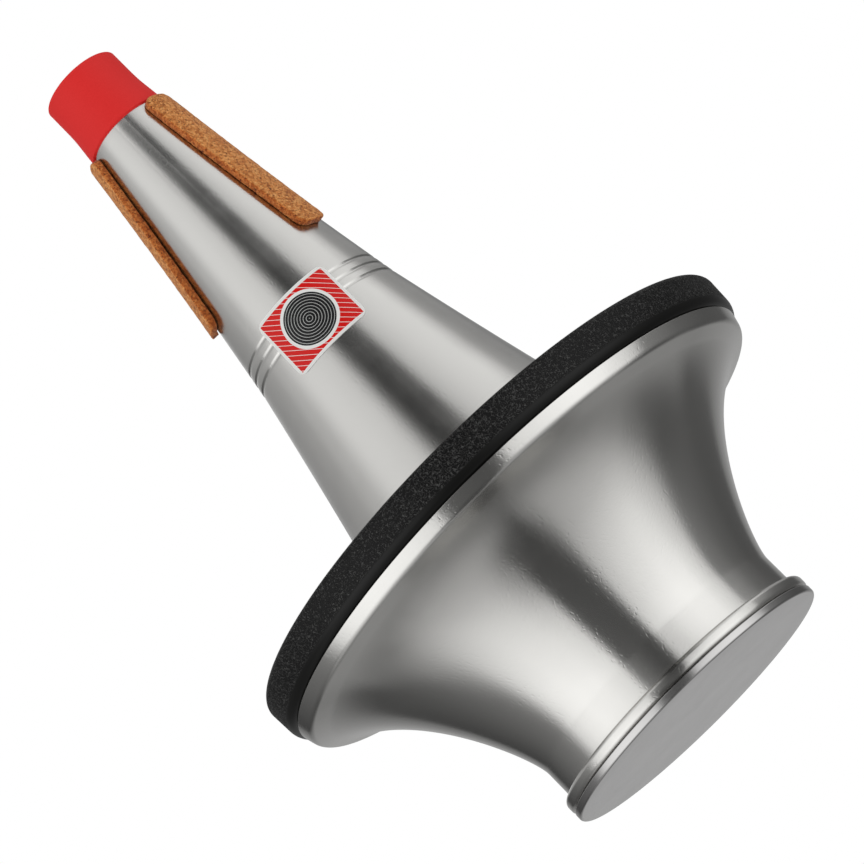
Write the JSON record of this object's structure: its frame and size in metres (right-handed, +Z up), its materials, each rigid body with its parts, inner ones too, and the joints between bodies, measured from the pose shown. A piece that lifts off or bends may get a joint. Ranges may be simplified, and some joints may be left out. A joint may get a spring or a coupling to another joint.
{
  "type": "bass trombone cup mute",
  "caption": "Spun aluminium cup mute with a conical body, cork strips, red throat sleeve, and a sliding flared cup whose rim carries a black foam cushion.",
  "frame": {"origin": "centre of the end plate's outer face, on which the mute stands", "axes": "+Z up the mute's axis to the open throat; -Y towards the side with the label"},
  "size_m": [0.21, 0.21, 0.3144],
  "materials": {
    "spun_aluminium": "satin, spun, fine rings round the axis",
    "plate_aluminium": "satin",
    "red_rubber": "matte",
    "cork": "granulated cork sheet, matte",
    "label_vinyl": "printed, satin",
    "grey_felt": "felt",
    "black_foam_rubber": "crinkled skin, matte"
  },
  "bodies": {
    "mute_body": {"end_plate": "plate_aluminium", "slide_barrel": "spun_aluminium", "rear_cone": "spun_aluminium", "front_cone": "spun_aluminium", "throat_sleeve": "red_rubber", "cork_strip_1": "cork", "cork_strip_2": "cork", "cork_strip_3": "cork", "cone_label": "label_vinyl"},
    "cup_collar": {"neck_lining": "grey_felt"},
    "cup": {"cup_bell": "spun_aluminium", "rim_cushion": "black_foam_rubber"}
  },
  "joints": [
    {"name": "cup_slide", "type": "slide", "parent": "mute_body", "child": "cup_collar", "axis": [0, 0, 1], "range_m": [0, 0.075]},
    {"name": "cup_twist", "type": "hinge", "parent": "cup_collar", "child": "cup", "pos_m": [0, 0, 0.0106], "axis": [0, 0, 1], "continuous": true}
  ]
}
